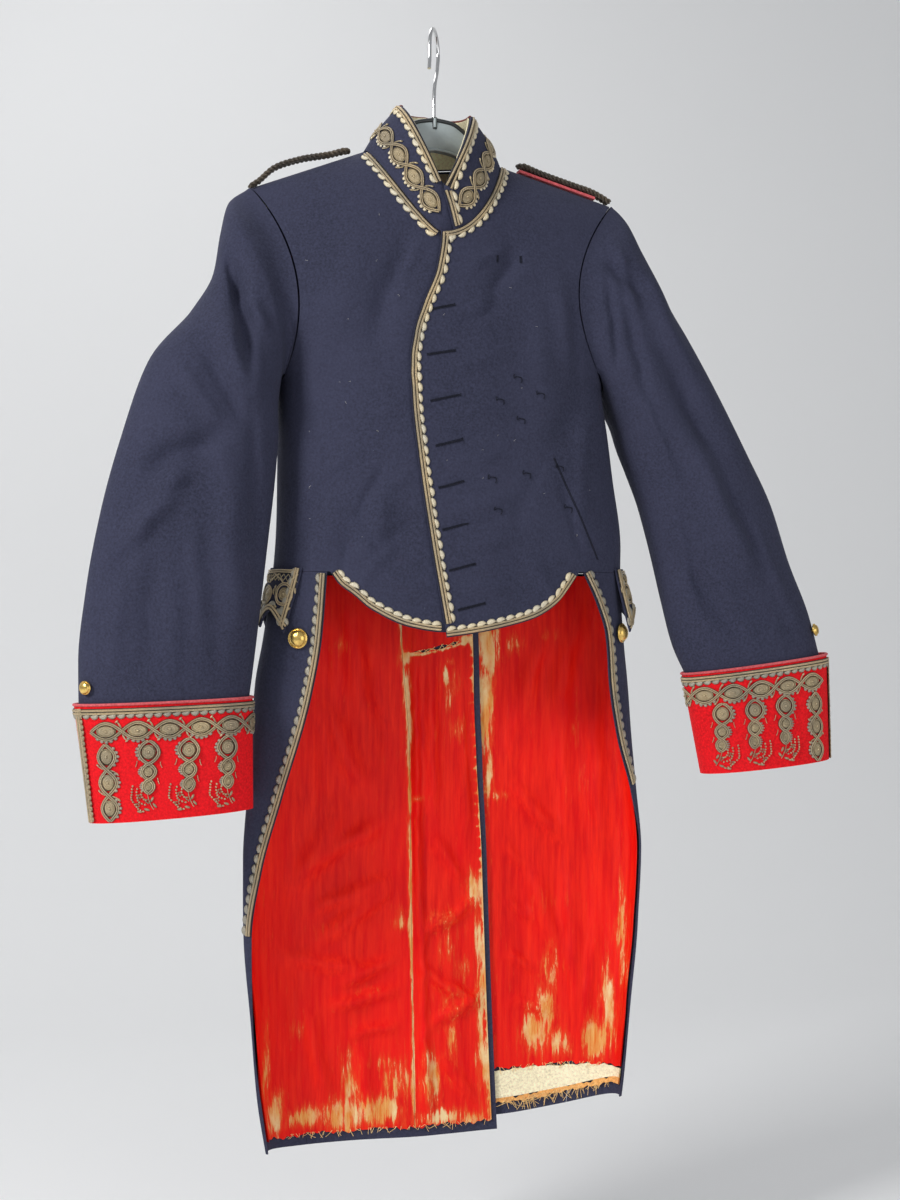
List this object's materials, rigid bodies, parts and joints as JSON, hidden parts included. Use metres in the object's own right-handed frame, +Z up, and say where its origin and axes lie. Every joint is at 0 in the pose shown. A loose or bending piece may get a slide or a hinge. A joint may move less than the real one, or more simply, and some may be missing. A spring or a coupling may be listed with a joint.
{
  "type": "tailcoat on hanger",
  "caption": "Navy cutaway tailcoat with stand collar, scalloped gold braid edges, red turned cuffs, red-lined tails and pointed pocket flaps, hung on a plain hanger.",
  "frame": {"origin": "inside of the top of the hanger's hook, where it bears on a rail", "axes": "+Z up, +Y to the back of the coat, +X to the wearer's left"},
  "size_m": [0.8182, 0.1396, 1.1848],
  "materials": {
    "navy_cloth": "matt milled wool",
    "cuff_cloth": "matt wool",
    "red_lining": "worn twill with a soft sheen",
    "cream_cloth": "matt linen",
    "frayed_cloth": "frayed and faded",
    "buff_cloth": "matt",
    "gold_braid": "tarnished metal thread",
    "shoulder_cord": "twisted metal thread",
    "button_metal": "polished",
    "hanger_plastic": "smooth",
    "hook_metal": "polished"
  },
  "bodies": {
    "root": {"front_right": "navy_cloth", "back_right": "navy_cloth", "skirt_right": "navy_cloth", "top_sleeve_right": "navy_cloth", "under_sleeve_right": "navy_cloth", "flap_right": "navy_cloth", "cuff_right": "cuff_cloth", "braid_cuff_right": "gold_braid", "braid_flap_front_right": "gold_braid", "braid_flap_low_right": "gold_braid", "braid_waist_right": "gold_braid", "braid_skirt_right": "gold_braid", "braid_neck_right": "gold_braid", "braid_collar_right": "gold_braid", "flap_button_right": "button_metal", "cuff_button_right": "button_metal", "shoulder_cord_right": "shoulder_cord", "collar_right": "navy_cloth", "front_left": "navy_cloth", "back_left": "navy_cloth", "skirt_left": "navy_cloth", "top_sleeve_left": "navy_cloth", "under_sleeve_left": "navy_cloth", "flap_left": "navy_cloth", "cuff_left": "cuff_cloth", "braid_cuff_left": "gold_braid", "braid_flap_front_left": "gold_braid", "braid_flap_low_left": "gold_braid", "braid_waist_left": "gold_braid", "braid_skirt_left": "gold_braid", "braid_neck_left": "gold_braid", "braid_collar_left": "gold_braid", "flap_button_left": "button_metal", "cuff_button_left": "button_metal", "shoulder_cord_left": "shoulder_cord", "collar_left": "navy_cloth", "braid_front_left": "gold_braid", "collar_lining": "cream_cloth", "neck_lining": "buff_cloth", "lining_right_side": "red_lining", "lining_right_back": "red_lining", "lining_left": "red_lining", "interlining_left": "cream_cloth", "frayed_hem_left": "frayed_cloth", "shoulder_strap_left": "cuff_cloth", "hanger_body": "hanger_plastic", "hanger_hook": "hook_metal"}
  },
  "joints": []
}
